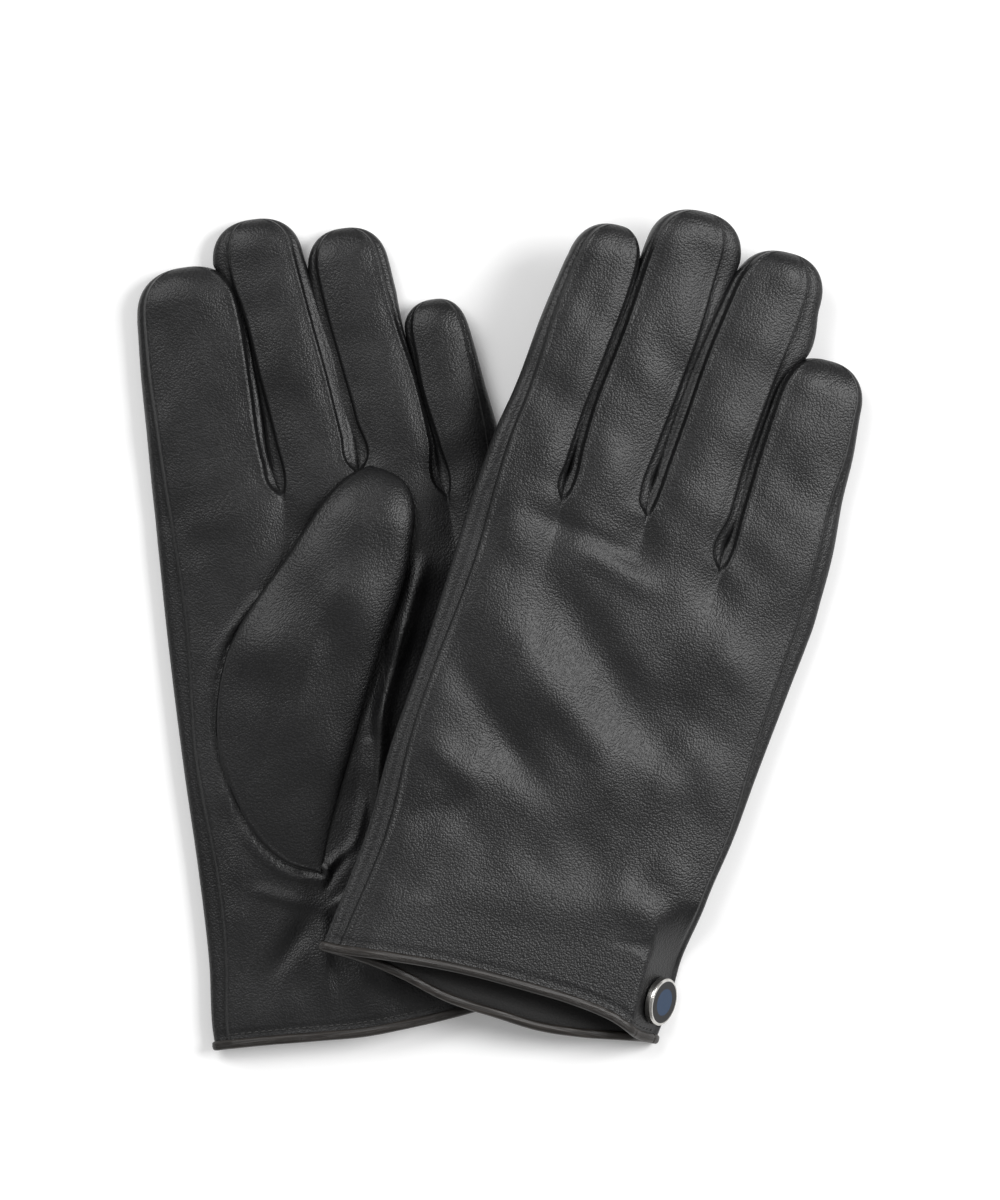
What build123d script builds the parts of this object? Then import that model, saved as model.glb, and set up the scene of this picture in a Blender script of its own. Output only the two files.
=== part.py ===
"""A pair of men's dress gloves laid flat: the left one palm up, the right one back up and partly on it.

Each glove is a flat sleeve of leather over a lining, cut into the pieces that a glover sews together.
Both are built from one pattern, palm down. The left one is then turned over by a mirror in Z.
Millimetres, +Z up, fingers towards +Y, origin at the middle of the pair's footprint, on the table.
"""

from build123d import *

import math
import os

os.makedirs("parts", exist_ok=True)

# Sizes that both gloves share
THICKNESS = 10.0  # an empty glove lying flat
EDGE_ROUND = 3.8  # roundness of the glove's outer edge
LEATHER = 1.0
LINING = 0.7
CUFF_WIDTH = 103.0
WRIST_UP = 62.0  # height of the wrist above the hem
WRIST_HALF = (49.5, 56.0)  # thumb side, little finger side
BINDING = 3.0  # leather strip folded over the hem
FACING = 26.0  # leather band inside the mouth, above the binding
CROTCH_GAP = 3.5  # between the roots of two fingers
CROTCH_DEPTH = 6.0  # from a finger's bending line down to its crotch
BEND_GAP = 0.4  # open cut between the hand and a finger or a lining
SIDE_STRIP = 4.4  # height of the strips sewn between the fingers
TIP_CAP = 13.0  # stretch at a fingertip that the strips leave free
OUTSIDE = 30.0  # how far cutting blocks reach past the glove

# Finger: root width, how far its bending line is up the palm, length, tip width, tip's place across
FINGERS = {
    "left": {
        "index": (34.5, 172.0, 66.7, 24.0, -23.5),
        "middle": (22.0, 173.0, 77.0, 24.0, 0.7),
        "ring": (22.5, 172.0, 71.4, 23.0, 25.5),
        "little": (17.0, 165.0, 52.2, 18.5, 49.7),
    },
    "right": {
        "index": (22.0, 160.0, 77.6, 20.0, -24.5),
        "middle": (22.0, 162.0, 86.2, 24.0, 1.0),
        "ring": (21.0, 159.0, 82.9, 22.0, 28.0),
        "little": (27.0, 151.0, 62.8, 23.0, 50.5),
    },
}
KNUCKLE_START = {"left": -43.5, "right": -41.0}  # the index finger's outer edge at its root
NAMES = ("index", "middle", "ring", "little")

# Thumb, folded flat against the palm: the right one is pressed flatter under its own hand
THUMB_ROOT = (-15.9, 75.0)
THUMB_TIP = {"left": (21.0, 155.0), "right": (16.0, 142.0)}  # below the fingers' bending lines
THUMB_ROOT_R = {"left": 22.0, "right": 18.0}
THUMB_TIP_R = {"left": 14.0, "right": 12.0}
THUMB_THICK = {"left": 9.0, "right": 5.6}
THUMB_ROUND = {"left": 3.4, "right": 2.2}
THUMB_LEATHER = 0.9
THUMB_LINING = 0.6
THUMB_GAP = 0.3  # between the thumb and the palm that it lies on
THUMB_HOLE = (9.0, 15.0)  # half width and half length of the oval hole in the palm

# Elastic inside the wrist
ELASTIC_WIDE = 6.0
ELASTIC_LONG = 42.0
ELASTIC_THICK = 0.6
ELASTIC_UP = 50.0
ELASTIC_ACROSS = -12.0

# Press stud: its flap leans out at 45 degrees over the vent at the cuff's corner
FLAP_ACROSS = 40.4  # the flap's hinge line
FLAP_LONG = 17.0
FLAP_WIDE = 21.0
FLAP_START = 1.3
CAP_R = 7.5
CAP_THICK = 2.2
CAP_RIM = 0.9
ENAMEL_SINK = 0.4
POST_R = 1.2
SOCKET_R = 4.2
SOCKET_THICK = 1.7
SOCKET_BORE_R = 2.5
SOCKET_ROOF = 0.6
STUD_R = 3.6
STUD_BASE = 0.5
STUD_HEAD_R = 1.9
STUD_GAP = 0.3  # stud to socket, above its base
CAP_UP = 10.2  # the cap's place above the hem

# How the two gloves lie
LEFT_TURN = 8.5
LEFT_AT = (-37.0, -121.0)
RIGHT_TURN = -14.0
RIGHT_AT = (0.0, -112.0)
RIGHT_TILT = 13.2  # its thumb side rests on the left glove
TILT_ACROSS = 66.0  # the long edge that it tilts about
TILT_CLEAR = 0.5


def box(low, high):
    """A block between two corners."""
    size = [h - l for l, h in zip(low, high)]
    centre = [(h + l) / 2 for l, h in zip(low, high)]
    return Pos(*centre) * Box(*size)


def roots(side):
    """The two edges and the bending line of each finger at its root, thumb side first."""
    edge, found = KNUCKLE_START[side], {}
    for name in NAMES:
        width, up = FINGERS[side][name][:2]
        found[name] = (edge, edge + width, up)
        edge += width + CROTCH_GAP
    return found


def tip(side, name):
    """Centre and radius of the round end of a finger."""
    _, up, length, width, across = FINGERS[side][name]
    return (across, up + length - width / 2), width / 2


def finger_plan(side, name, inset, start):
    """A tapered finger with a round end, beginning at the height start."""
    low, high, up = roots(side)[name]
    (across, centre), radius = tip(side, name)
    radius -= inset
    ends = [(low + inset, start), (across - radius, centre), (across + radius, centre), (high - inset, start)]
    outline = [
        Line(ends[0], ends[1]),
        ThreePointArc(ends[1], (across, centre + radius), ends[2]),
        Line(ends[2], ends[3]),
        Line(ends[3], ends[0]),
    ]
    return make_face(outline)


def palm_plan(side, inset):
    """The hand from below the hem to the bending lines, with a square notch at each crotch."""
    found = roots(side)
    top = []
    for name, after in zip(NAMES, NAMES[1:] + (None,)):
        low, high, up = found[name]
        top += [(low + inset, up), (high - inset, up)]
        if after:
            crotch = min(up, found[after][2]) - CROTCH_DEPTH - inset
            top += [(high - inset, crotch), (found[after][0] + inset, crotch)]
    half, (thumb_side, little_side) = CUFF_WIDTH / 2 - inset, WRIST_HALF
    outline = [
        Polyline(*top),
        Spline(top[-1], (little_side - inset, WRIST_UP), (half, 0), tangents=[(0.05, -1), (-0.05, -1)]),
        Polyline((half, 0), (half, -OUTSIDE), (-half, -OUTSIDE), (-half, 0)),
        Spline((-half, 0), (inset - thumb_side, WRIST_UP), top[0], tangents=[(0.02, 1), (0.05, 1)]),
    ]
    return make_face(outline)


def slab(plan, thickness, base, rounding):
    """A flat body with its upper and lower edges rounded."""
    body = Pos(0, 0, base) * extrude(plan, amount=thickness)
    flat = [e for e in body.edges() if abs(e.center().Z - base) < 1e-3]
    flat += [e for e in body.edges() if abs(e.center().Z - base - thickness) < 1e-3]
    return fillet(flat, rounding)


def sleeve(side, inset):
    """The whole glove without its thumb, shrunk by inset on every side."""
    plan = palm_plan(side, inset)
    for name in NAMES:
        plan += finger_plan(side, name, inset, roots(side)[name][2])
    plan = plan.face() if len(plan.faces()) == 1 else plan
    return slab(plan, THICKNESS - 2 * inset, inset, EDGE_ROUND - inset)


def finger_zone(side, name, start):
    """The room of one finger beyond the height start, a little wider than the finger."""
    outset = -CROTCH_GAP / 7
    return Pos(0, 0, -OUTSIDE) * extrude(finger_plan(side, name, outset, start), amount=3 * OUTSIDE)


def strip_zone(side, name):
    """The room of the side strips: a band at half height, only beside another finger."""
    low, high, up = roots(side)[name]
    (across, centre), _ = tip(side, name)
    middle = [((low + high) / 2, up - OUTSIDE), (across, centre + OUTSIDE)]
    reach = {"index": (0, OUTSIDE), "little": (-OUTSIDE, 0)}.get(name, (-OUTSIDE, OUTSIDE))
    corners = [(x + reach[0], y) for x, y in middle] + [(x + reach[1], y) for x, y in reversed(middle)]
    half = SIDE_STRIP / 2
    band = Pos(0, 0, THICKNESS / 2 - half) * extrude(make_face(Polyline(*corners, close=True)), amount=2 * half)
    end = up + FINGERS[side][name][2] - TIP_CAP
    return band & box((-4 * OUTSIDE, 0, -OUTSIDE), (4 * OUTSIDE, end, 2 * OUTSIDE))


def layers(side):
    """The leather layer and the lining layer of the sleeve, each open at the hem."""
    outer, middle, inner = (sleeve(side, inset) for inset in (0, LEATHER, LEATHER + LINING))
    above_hem = box((-4 * OUTSIDE, 0, -OUTSIDE), (4 * OUTSIDE, 12 * OUTSIDE, 2 * OUTSIDE))
    return (outer - middle) & above_hem, (middle - inner) & above_hem


def half_space(upper):
    """Everything above or below the middle of the glove's thickness."""
    low, high = (THICKNESS / 2, 2 * OUTSIDE) if upper else (-OUTSIDE, THICKNESS / 2)
    return box((-4 * OUTSIDE, -OUTSIDE, low), (4 * OUTSIDE, 12 * OUTSIDE, high))


def fingers(side, leather, lining):
    """Back, palm, side strips and lining of each finger."""
    made = {}
    for name in NAMES:
        zone = finger_zone(side, name, roots(side)[name][2] + BEND_GAP)
        skin = leather & zone
        strips = skin & strip_zone(side, name)
        faces = skin - strip_zone(side, name)
        made[f"{name}_back"] = faces & half_space(True)
        made[f"{name}_palm"] = faces & half_space(False)
        made[f"{name}_fourchette"] = strips
        made[f"{name}_lining"] = lining & zone
    return made


def thumb_plan(side, inset):
    """The thumb's flat outline, wide at its root."""
    (x0, y0), (x1, y1) = THUMB_ROOT, THUMB_TIP[side]
    root = Pos(x0, y0) * Circle(THUMB_ROOT_R[side] - inset)
    end = Pos(x1, y1) * Circle(THUMB_TIP_R[side] - inset)
    lean = math.asin((THUMB_ROOT_R[side] - THUMB_TIP_R[side]) / math.dist(THUMB_ROOT, THUMB_TIP[side]))
    along = math.atan2(y1 - y0, x1 - x0)
    corners = []
    for turn in (1, -1):
        away = along + turn * (math.pi / 2 - lean)
        out = (math.cos(away), math.sin(away))
        for (x, y), radius in (((x0, y0), THUMB_ROOT_R[side]), ((x1, y1), THUMB_TIP_R[side])):
            corners.append((x + out[0] * (radius - inset), y + out[1] * (radius - inset)))
    return root + end + make_face(Polyline(corners[0], corners[1], corners[3], corners[2], close=True))


def thumb_hole(side):
    """A post through the palm and the thumb's upper wall, where the hand's room opens into the thumb."""
    along = math.degrees(math.atan2(THUMB_TIP[side][1] - THUMB_ROOT[1], THUMB_TIP[side][0] - THUMB_ROOT[0]))
    oval = Pos(*THUMB_ROOT) * Rot(0, 0, along - 90) * Ellipse(*THUMB_HOLE)
    reach = THUMB_GAP + THUMB_LEATHER + THUMB_LINING + 0.5
    return Pos(0, 0, -reach) * extrude(oval, amount=reach + THICKNESS / 2)


def thumb(side):
    """The thumb's leather and its lining, lying against the palm's outer face."""
    base = -THUMB_GAP - THUMB_THICK[side]
    bodies = []
    for inset in (0, THUMB_LEATHER, THUMB_LEATHER + THUMB_LINING):
        thickness, rounding = THUMB_THICK[side] - 2 * inset, max(THUMB_ROUND[side] - inset, 0.4)
        bodies.append(slab(thumb_plan(side, inset), thickness, base + inset, rounding))
    outer, middle, inner = bodies
    return {"thumb_leather": outer - middle - thumb_hole(side), "thumb_lining": middle - inner - thumb_hole(side)}


def flap_frame():
    """The flap's outer face: X down the slope from its hinge line, Z away from the glove."""
    return Pos(FLAP_ACROSS, 0, THICKNESS) * Rot(0, 45, 0)


def flap_block(start, end, low, high, near, far):
    """A block in the flap's frame: down the slope, away from the glove, above the hem."""
    return flap_frame() * box((start, near, low), (end, far, high))


def stud_place():
    """The press stud's axis on the flap."""
    down = CAP_R + CAP_THICK + BEND_GAP
    return flap_frame() * Pos(down, CAP_UP, 0)


def underlap_depth():
    """How far the vent's under layer lies below the flap's outer face."""
    return LEATHER + SOCKET_THICK + STUD_GAP + STUD_BASE


def disc(radius, low, high):
    """A round in the press stud's own frame."""
    return Pos(0, 0, low) * extrude(Circle(radius), amount=high - low)


def vent_cut():
    """What the vent at the cuff's corner leaves out of the hand."""
    far = FLAP_WIDE + BEND_GAP
    below = box((-4 * OUTSIDE, -1, -OUTSIDE), (4 * OUTSIDE, far, THICKNESS - LEATHER))
    slope = flap_block(-OUTSIDE, OUTSIDE, -underlap_depth(), OUTSIDE, -1, far) & below
    return slope + box((FLAP_ACROSS, -1, THICKNESS - LEATHER), (4 * OUTSIDE, far, 2 * OUTSIDE))


def press_stud(hand):
    """The flap with its cap and socket, and the under layer with the stud."""
    place = stud_place()
    skin, roof = -LEATHER, -LEATHER - SOCKET_ROOF
    bottom = -LEATHER - SOCKET_THICK
    layer = -underlap_depth()
    flap = flap_block(FLAP_START, FLAP_LONG, -LEATHER, 0, BEND_GAP, FLAP_WIDE)
    socket = disc(SOCKET_R, bottom, skin) - disc(SOCKET_BORE_R, bottom, roof)
    cap = disc(CAP_R, 0, CAP_THICK)
    cap = fillet(cap.edges().filter_by(GeomType.CIRCLE).sort_by(Axis.Z)[-1], CAP_THICK / 3)
    cap -= disc(CAP_R - CAP_RIM, CAP_THICK - ENAMEL_SINK, CAP_THICK)
    stud_head = disc(STUD_HEAD_R, layer + STUD_BASE, roof - STUD_GAP)
    under = flap_block(-OUTSIDE, OUTSIDE, layer - LEATHER, layer, BEND_GAP, FLAP_WIDE)
    under &= box((-4 * OUTSIDE, 0, 0), (CUFF_WIDTH / 2, OUTSIDE, THICKNESS - LEATHER))
    for other in hand:
        under -= other
    return {
        "snap_flap": flap - place * disc(POST_R, -LEATHER, 0),
        "snap_cap": place * (cap + disc(POST_R, -LEATHER, 0)),
        "snap_enamel": place * disc(CAP_R - CAP_RIM, CAP_THICK - ENAMEL_SINK, CAP_THICK),
        "snap_socket": place * socket,
        "vent_underlap": under.solids().sort_by(SortBy.VOLUME)[-1],
        "snap_stud": place * (disc(STUD_R, layer, layer + STUD_BASE) + stud_head),
    }


def hand(side, leather, lining):
    """Panels, lining, facing, binding and wrist elastic of the hand."""
    cut = vent_cut()
    for name in NAMES:
        cut += finger_zone(side, name, roots(side)[name][2])
    leather, lining = leather - cut, lining - cut
    hem = box((-4 * OUTSIDE, 0, -OUTSIDE), (4 * OUTSIDE, BINDING, 2 * OUTSIDE))
    mouth = box((-4 * OUTSIDE, BINDING, -OUTSIDE), (4 * OUTSIDE, BINDING + FACING, 2 * OUTSIDE))
    above = leather - hem
    half = ELASTIC_LONG / 2
    elastic = box(
        (ELASTIC_ACROSS - half, ELASTIC_UP - ELASTIC_WIDE / 2, LEATHER + LINING),
        (ELASTIC_ACROSS + half, ELASTIC_UP + ELASTIC_WIDE / 2, LEATHER + LINING + ELASTIC_THICK),
    )
    return {
        "back_panel": above & half_space(True),
        "palm_panel": (above & half_space(False)) - thumb_hole(side),
        "hand_lining": lining - hem - mouth - thumb_hole(side),
        "cuff_facing": lining & mouth,
        "cuff_binding": (leather & hem) + (lining & hem),
        "wrist_elastic": elastic - thumb_hole(side),
    }


def glove(side):
    """Every piece of one glove, palm down, before it is placed."""
    leather, lining = layers(side)
    made = hand(side, leather, lining)
    made.update(press_stud(list(made.values())))
    made.update(fingers(side, leather, lining))
    made.update(thumb(side))
    return made


def placement(side):
    """Where one glove lies before the pair is centred, and whether it is turned over."""
    if side == "left":
        return Pos(*LEFT_AT) * Rot(0, 0, LEFT_TURN)
    tilt = Pos(TILT_ACROSS, 0, TILT_CLEAR) * Rot(0, RIGHT_TILT, 0) * Pos(-TILT_ACROSS, 0, 0)
    return Pos(*RIGHT_AT) * Rot(0, 0, RIGHT_TURN) * tilt


def pair():
    """Both gloves as they lie, centred on the origin, and the shift that centred them."""
    made = {}
    for side in ("left", "right"):
        for name, piece in glove(side).items():
            if side == "left":
                piece = Pos(0, 0, THICKNESS) * mirror(piece, about=Plane.XY)
            made[f"{side}_{name}"] = placement(side) * piece
    bounds = [piece.bounding_box() for piece in made.values()]
    middle = [
        (min(getattr(b.min, axis) for b in bounds) + max(getattr(b.max, axis) for b in bounds)) / 2 for axis in "XY"
    ]
    shift = (-middle[0], -middle[1], -min(b.min.Z for b in bounds))
    return {name: Pos(*shift) * piece for name, piece in made.items()}, shift


if __name__ == "__main__":
    pieces, moved = pair()
    for name, piece in pieces.items():
        export_step(piece, f"parts/{name}.step")
        print(name, len(piece.solids()), round(piece.volume), piece.bounding_box().size)
    print("centred by", [round(value, 3) for value in moved])
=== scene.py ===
"""A pair of men's black leather dress gloves lying flat: the left one palm up, the right one back up on it.

Each glove is worked out flat, palm down, in millimetres: x across from the thumb side, y up from the hem,
z from the palm to the back. It is then turned over or tilted to where it lies. Every face, side strip and
lining is one net of rows and columns, cut into the pieces that a glover sews.
"""

import math

import bpy
import numpy as np
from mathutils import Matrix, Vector


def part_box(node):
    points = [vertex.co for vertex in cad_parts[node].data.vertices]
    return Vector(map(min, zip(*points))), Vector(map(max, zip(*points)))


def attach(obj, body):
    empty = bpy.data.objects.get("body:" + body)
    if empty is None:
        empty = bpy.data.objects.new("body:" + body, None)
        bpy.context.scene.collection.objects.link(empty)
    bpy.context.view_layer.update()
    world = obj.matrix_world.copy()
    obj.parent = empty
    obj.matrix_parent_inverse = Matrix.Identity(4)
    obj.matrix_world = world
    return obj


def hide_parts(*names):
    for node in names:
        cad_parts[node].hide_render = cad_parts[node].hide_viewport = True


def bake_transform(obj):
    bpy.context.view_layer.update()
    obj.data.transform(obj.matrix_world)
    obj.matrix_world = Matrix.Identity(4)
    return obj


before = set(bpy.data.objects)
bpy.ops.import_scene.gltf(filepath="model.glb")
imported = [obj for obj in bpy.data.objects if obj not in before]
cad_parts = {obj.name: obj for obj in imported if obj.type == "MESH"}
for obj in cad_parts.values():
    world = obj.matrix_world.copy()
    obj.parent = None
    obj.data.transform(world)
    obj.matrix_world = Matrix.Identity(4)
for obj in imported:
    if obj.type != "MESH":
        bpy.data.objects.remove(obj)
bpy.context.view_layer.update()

MM = 0.001
THICKNESS = 10.0
MIDDLE = THICKNESS / 2
LEATHER = 1.0  # how far the linings lie inside the leather's face
SIDES = ("left", "right")
FINGERS = ("index", "middle", "ring", "little")

# How the two gloves lie, as in the solid model
TURN = {"left": 8.5, "right": -14.0}
AT = {"left": (-39.635, -120.846), "right": (-2.635, -111.846)}
RIGHT_TILT = 13.2
TILT_ACROSS = 66.0
TILT_CLEAR = 0.5

# Outline of the hand: (up, across)
THUMB_EDGE = {
    "left": [(-4, -50.0), (4, -50.3), (26, -48.3), (53, -47.4), (86, -47.2), (124, -46.3), (166, -44.4)],
    "right": [(-4, -58.9), (16, -56.2), (39, -53.4), (66, -52.6), (95, -49.9), (124, -48.0), (152, -46.5)],
}
LITTLE_EDGE = {
    "left": [(-4, 51.0), (46, 54.6), (92, 59.8), (130, 62.6), (157, 62.4)],
    "right": [
        (-4, 50.0), (6, 51.6), (26, 52.4), (45, 53.9), (63, 57.0),
        (84, 59.4), (112, 62.9), (135, 65.6), (152, 65.8),
    ],
}
# How far the edge leather wraps over the face before its seam
THUMB_WRAP = [(0, 3.8), (50, 5.0), (88, 3.6), (132, 5.6), (165, 4.1), (190, 2.9), (212, 2.1), (240, 1.8)]
LITTLE_WRAP = [
    (0, 1.7), (52, 1.8), (72, 2.1), (93, 3.5), (120, 5.0), (140, 5.6), (165, 4.6), (185, 2.8), (210, 1.8),
]
CROTCHES = {
    "left": [(-4.6, 165.0), (19.6, 168.6), (45.6, 157.2)],
    "right": [(-21.6, 152.2), (5.6, 154.2), (32.2, 143.0)],
}
CROTCH_FILL = 1.8  # the side strips press together just above a crotch
EDGE_DROP = 2.0  # the finger nets start this much lower at the hand's two edges

# Faces of the fingers: left and right seam as (up, across), tip as (across, up, round height)
FACES = {
    "left": {
        "index": (
            [(163, -40.3), (175, -40.4), (190, -40.3), (209, -40.1), (226, -39.0)],
            [(165, -4.6), (168, -7.0), (176, -8.4), (200, -8.8), (218, -8.9), (226, -9.4)],
            (-24.5, 239.0, 22.0),
        ),
        "middle": (
            [(165, -4.6), (168, -3.8), (182, -4.5), (203, -6.5), (222, -8.4), (233, -10.5), (242, -10.8)],
            [(168.6, 19.6), (171, 17.6), (181, 16.4), (200, 14.6), (219, 12.3), (238, 10.2)],
            (-1.5, 250.5, 19.0),
        ),
        "ring": (
            [(168.6, 19.6), (171, 21.6), (185, 20.9), (204, 18.6), (226, 16.1), (236, 15.6)],
            [(157.2, 45.6), (160, 43.5), (175, 43.0), (194, 41.4), (211, 38.4), (222, 36.9), (232, 36.0)],
            (25.6, 243.7, 19.0),
        ),
        "little": (
            [(157.2, 45.6), (161, 46.6), (173, 45.3), (192, 42.5), (204, 42.1), (212, 41.5)],
            [(155, 59.6), (174, 60.4), (194, 59.2), (208, 58.0)],
            (50.0, 218.0, 17.5),
        ),
    },
    "right": {
        "index": (
            [(150, -43.6), (167, -42.6), (183, -40.4), (207, -38.6), (226, -35.8)],
            [(152.2, -21.6), (156, -23.7), (164, -23.2), (182, -21.7), (200, -19.4), (219, -17.1),
             (232, -16.2)],
            (-24.0, 238.2, 22.0),
        ),
        "middle": (
            [(152.2, -21.6), (156, -20.4), (172, -19.9), (183, -19.5), (200, -17.3), (218, -15.2),
             (236, -13.6)],
            [(154.2, 5.6), (157, 2.9), (161, 2.2), (175, 3.7), (194, 6.1), (214, 8.0), (238, 9.1)],
            (1.2, 248.7, 20.5),
        ),
        "ring": (
            [(154.2, 5.6), (158, 6.4), (171, 7.9), (190, 9.8), (209, 11.7), (226, 14.5), (236, 16.4)],
            [(143, 32.2), (146, 29.9), (161, 31.2), (181, 32.0), (205, 34.7), (222, 37.2), (234, 37.8)],
            (30.2, 243.0, 19.5),
        ),
        "little": (
            [(143, 32.2), (147, 33.4), (161, 34.2), (180, 35.1), (197, 36.3), (206, 37.4)],
            [(141, 60.6), (156, 61.2), (172, 61.3), (186, 62.4), (200, 61.8)],
            (50.2, 213.9, 18.0),
        ),
    },
}
# How far each side strip swells past its seam: left and right, as (up, width)
SWELLS = {
    "left": {
        "index": (None, [(165, 0.1), (172, 1.0), (240, 1.0)]),
        "middle": (
            [(165, 0.1), (172, 3.0), (190, 2.2), (203, 1.2), (228, 0.5), (233, 2.2), (238, 4.6)],
            [(168, 0.1), (174, 2.3), (240, 2.4)],
        ),
        "ring": (
            [(168, 0.1), (174, 2.3), (240, 2.3)],
            [(157, 0.6), (163, 2.2), (175, 1.4), (192, 0.7), (212, 1.4), (222, 2.4)],
        ),
        "little": ([(157, 0.6), (163, 2.2), (175, 1.4), (192, 0.8), (212, 2.2)], None),
    },
    "right": {
        "index": (None, [(152, 0.1), (160, 1.3), (240, 1.3)]),
        "middle": (
            [(152, 0.1), (160, 1.2), (240, 1.2)],
            [(154, 0.1), (159, 2.6), (166, 3.3), (190, 2.9), (210, 3.5), (225, 5.2), (236, 6.6)],
        ),
        "ring": (
            [(154, 0.1), (160, 1.2), (240, 1.2)],
            [(143, 0.1), (148, 2.0), (190, 2.2), (204, 2.6), (213, 7.2), (228, 5.8)],
        ),
        "little": ([(143, 0.1), (150, 1.0), (210, 1.0)], None),
    },
}
# Lower edge of the two layers at the mouth: (across, up)
LEFT_HEM = [(-50, -0.6), (-36, -1.2), (-18, -2.4), (-4, -3.2), (8, -2.7), (31, -0.6), (51, 2.6)]
HEM = {
    "left": {"back": LEFT_HEM, "palm": LEFT_HEM},
    "right": {
        "back": [(-59, 1.0), (-40, 3.0), (-20, 4.3), (4, 3.9), (20, 3.0), (33, 1.0), (44, -2.6), (52, -2.8)],
        "palm": [
            (-59, 1.0), (-44, 0.2), (-33, -1.6), (-16, -5.4), (0, -6.6),
            (14, -7.4), (28, -6.2), (44, -3.6), (52, -2.8),
        ],
    },
}
GAPE = {"left": 1.0, "right": 4.2}  # how far the mouth's upper layer stands open
BINDING = 3.0
BINDING_HALF = 1.35  # half the rolled strip's thickness
FACING_TOP = 29.0
STITCH_PITCH = 2.1
STITCH_UP = 4.25  # from the hem
STITCH_CHANNEL = 0.34
STITCH_REACH = 0.7  # half a stitch along the line it is laid on
STITCH_HALF = 0.72  # half a stitch's own length, so that its ends dip in
STITCH_LIFT = 0.10
STITCH_SHAPE = ((-1, 0.02), (-0.8, 0.15), (-0.3, 0.24), (0.3, 0.24), (0.8, 0.15), (1, 0.02))  # place, radius
FLAP_ACROSS = 40.4
FLAP_WIDE = 21.0
UNDERLAP_DROP = 6.5  # from the snap flap's slope down to the palm below it
UNDERLAP_ACROSS = (FLAP_ACROSS - 1, 47.9)
UNDERLAP_UP = (2.0, 19.5)
UNDERLAP_DEPTH = 4.95  # from the back's slope down to the underlap
UNDERLAP_THICK = 0.5
STUD_UP = 10.2
LOWEST_CORNER = -4.2  # the palm under the flap goes no lower than this
SEAM_SPAN = 24.0  # width of a finger's face by which its seams' distances are measured
HALF_HAND = 4.9  # from the middle to the face of the hand
FINGER_PLUMP = 0.8  # a finger is this much fuller on each face


# ---------------------------------------------------------------- working out the leather

def through(stations, at):
    """A smooth line through stations (place, value), read at the places given."""
    place, value = np.array(stations, float).T
    at = np.asarray(at, float)
    slope = np.gradient(value, place)
    i = np.clip(np.searchsorted(place, at) - 1, 0, len(place) - 2)
    step = place[i + 1] - place[i]
    t = np.clip((at - place[i]) / step, 0, 1)
    rise, fall = t * t * (3 - 2 * t), t * (1 - t)
    return value[i] * (1 - rise) + value[i + 1] * rise + fall * step * ((1 - t) * slope[i] - t * slope[i + 1])


def ease(low, high, at):
    """0 below low, 1 above high, smooth between."""
    t = np.clip((at - low) / (high - low), 0, 1)
    return t * t * (3 - 2 * t)


def placed(side, points):
    """Points of the flat glove where they lie, in metres."""
    x, y, z = (points[..., i].astype(float) for i in range(3))
    if side == "left":
        z = THICKNESS - z
    else:
        tilt = math.radians(RIGHT_TILT)
        away = x - TILT_ACROSS
        x = TILT_ACROSS + away * math.cos(tilt) + z * math.sin(tilt)
        z = TILT_CLEAR - away * math.sin(tilt) + z * math.cos(tilt)
    turn = math.radians(TURN[side])
    across = x * math.cos(turn) - y * math.sin(turn) + AT[side][0]
    up = x * math.sin(turn) + y * math.cos(turn) + AT[side][1]
    return np.stack((across, up, np.maximum(z, 0)), -1) * MM


def seam_columns(width, count):
    """Places across a face from 0 to 1, close together beside its two seams."""
    near = np.array([0.0, 0.3, 0.65, 1.05, 1.6]) / width
    middle = np.linspace(near[-1], 1 - near[-1], count - 2 * len(near) + 2)[1:-1]
    return np.concatenate((near, middle, 1 - near[::-1]))


def ripples(seed, x, y, shortest, longest, height):
    """Uneven soft waves, the same on every run."""
    dice = np.random.default_rng(seed)
    total = np.zeros_like(x)
    for _ in range(26):
        length = dice.uniform(shortest, longest)
        way, phase = dice.uniform(0, math.pi), dice.uniform(0, 2 * math.pi)
        wave = (x * math.cos(way) + y * math.sin(way)) * 2 * math.pi / length + phase
        total += np.sin(wave) * length / longest
    return total * height / 3.6


def ridge(x, y, start, end, width, height):
    """A soft fold along a straight run, highest at its middle."""
    (x0, y0), (x1, y1) = start, end
    long = math.hypot(x1 - x0, y1 - y0)
    ux, uy = (x1 - x0) / long, (y1 - y0) / long
    along = (x - x0) * ux + (y - y0) * uy
    off = (x - x0) * -uy + (y - y0) * ux
    body = ease(-0.35 * long, 0.3 * long, along) * (1 - ease(0.7 * long, 1.35 * long, along))
    return height * body * np.exp(-((off / width) ** 2))


def beside_line(x, y, points):
    """How far each place lies from a line through the points given."""
    line = np.array(points, float)
    share = np.linspace(0, 1, len(line))
    fine = np.linspace(0, 1, 60)
    spots = np.stack([through(list(zip(share, line[:, i])), fine) for i in (0, 1)], -1)
    away = np.hypot(x[..., None] - spots[:, 0], y[..., None] - spots[:, 1])
    return away.min(-1)


# On the left palm: the oval seam of the thumb, and the far edge of its hole
THUMB_SEAM = [(-10, 48.4), (-21.5, 53.6), (-31.8, 70), (-35.9, 96), (-30, 118), (-16, 133)]
HOLE_EDGE = [(-8, 49.5), (0.9, 55.7), (4.6, 63), (7.6, 72.6), (10.5, 86)]


def thumb_surround(x, y):
    """How the left palm rises and falls round the thumb."""
    seam, hole = (beside_line(x, y, line) for line in (THUMB_SEAM, HOLE_EDGE))
    rise = 0.75 * np.exp(-(((seam - 2.0) / 1.3) ** 2)) - 0.9 * np.exp(-((seam / 0.8) ** 2))
    return rise + 0.9 * np.exp(-((hole / 1.2) ** 2))


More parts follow.
